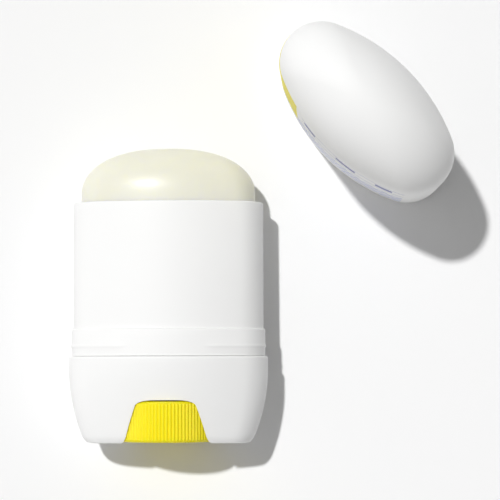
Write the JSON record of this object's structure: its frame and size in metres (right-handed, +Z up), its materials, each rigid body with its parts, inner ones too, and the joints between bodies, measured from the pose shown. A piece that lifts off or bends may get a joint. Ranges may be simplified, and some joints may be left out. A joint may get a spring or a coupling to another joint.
{
  "type": "sunscreen stick",
  "caption": "Oval twist-up sunscreen stick lying on its back, balm raised by a ribbed dial in its base, with its domed cap standing beside it",
  "frame": {"origin": "under the middle of the stick and its cap, on the surface that both rest on", "axes": "+Y runs along the lying stick towards its balm, +Z is up, and the stick's front with the dial window faces up"},
  "size_m": [0.0878, 0.0944, 0.0505],
  "materials": {
    "white_shell": "satin moulded polypropylene",
    "yellow_dial": "satin moulded polypropylene",
    "natural_plastic": "uncoloured moulded polypropylene",
    "balm": "poured translucent wax balm"
  },
  "bodies": {
    "stick": {"base_shell": "white_shell", "barrel": "white_shell"},
    "twist": {"dial": "yellow_dial", "screw": "natural_plastic"},
    "lift": {"carrier": "natural_plastic", "balm": "balm"},
    "cap": {"cap": "white_shell"}
  },
  "joints": [
    {"name": "dial_turn", "type": "hinge", "parent": "stick", "child": "twist", "pos_m": [-0.02094, -0.03671, 0.01204], "axis": [0, 0.9996, -0.0268], "range_deg": [-225, 2160]},
    {"name": "carrier_lift", "type": "slide", "parent": "stick", "child": "lift", "axis": [0, 0.9996, -0.0268], "range_m": [-0.0025, 0.024]},
    {"name": "cap_lift", "type": "slide", "parent": "stick", "child": "cap", "axis": [0, 0, 1], "range_m": [0, 0.06]}
  ],
  "couplings": [
    {"joint": "dial_turn", "follows": "carrier_lift", "rad_per_m": 1570.8}
  ]
}
